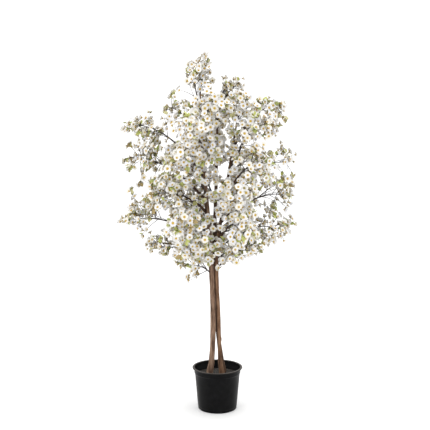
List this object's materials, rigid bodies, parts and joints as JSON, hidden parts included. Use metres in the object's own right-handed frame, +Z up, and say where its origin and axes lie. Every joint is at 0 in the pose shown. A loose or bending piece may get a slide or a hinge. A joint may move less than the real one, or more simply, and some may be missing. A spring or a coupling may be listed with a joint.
{
  "type": "artificial almond blossom tree in a pot",
  "caption": "Artificial almond tree: real-wood poles in a filled black nursery pot carry dark boughs and an open oval crown of white silk blossom and small green leaves.",
  "frame": {"origin": "centre of the pot's flat underside, at floor level", "axes": "+Z up along the pot's axis; the side that the picture shows faces -Y, with +X to the right"},
  "size_m": [0.8702, 0.782, 1.7555],
  "materials": {
    "pot_plastic": "satin",
    "pot_fill": "matte",
    "pole_wood": "matte",
    "branch_bark": "matte",
    "blossom_spray": "matte"
  },
  "bodies": {
    "root": {"bough_2_1": "branch_bark", "bough_3_1": "branch_bark", "bough_3_3": "branch_bark", "bough_3_5": "branch_bark", "bough_4_1": "branch_bark", "bough_4_4": "branch_bark", "bough_5_1": "branch_bark", "bough_5_3": "branch_bark", "bough_5_5": "branch_bark", "bough_6_1": "branch_bark", "bough_6_4": "branch_bark", "bough_7_1": "branch_bark", "bough_7_3": "branch_bark", "fill": "pot_fill", "pot": "pot_plastic", "spray_1_1": "blossom_spray", "spray_1_2": "blossom_spray", "spray_1_3": "blossom_spray", "spray_2_1": "blossom_spray", "spray_2_2": "blossom_spray", "spray_2_3": "blossom_spray", "spray_2_4": "blossom_spray", "spray_2_5": "blossom_spray", "spray_3_1": "blossom_spray", "spray_3_2": "blossom_spray", "spray_3_3": "blossom_spray", "spray_3_4": "blossom_spray", "spray_3_5": "blossom_spray", "spray_3_6": "blossom_spray", "spray_4_1": "blossom_spray", "spray_4_2": "blossom_spray", "spray_4_3": "blossom_spray", "spray_4_4": "blossom_spray", "spray_4_5": "blossom_spray", "spray_5_1": "blossom_spray", "spray_5_2": "blossom_spray", "spray_5_3": "blossom_spray", "spray_5_4": "blossom_spray", "spray_5_5": "blossom_spray", "spray_5_6": "blossom_spray", "spray_6_1": "blossom_spray", "spray_6_2": "blossom_spray", "spray_6_3": "blossom_spray", "spray_6_4": "blossom_spray", "spray_6_5": "blossom_spray", "spray_7_1": "blossom_spray", "spray_7_2": "blossom_spray", "spray_7_3": "blossom_spray", "spray_7_4": "blossom_spray", "spray_8_1": "blossom_spray", "spray_8_2": "blossom_spray", "spray_crown_back": "blossom_spray", "spray_crown_left": "blossom_spray", "spray_crown_right": "blossom_spray", "stem_back": "pole_wood", "stem_left": "pole_wood", "stem_right": "pole_wood"}
  },
  "joints": []
}
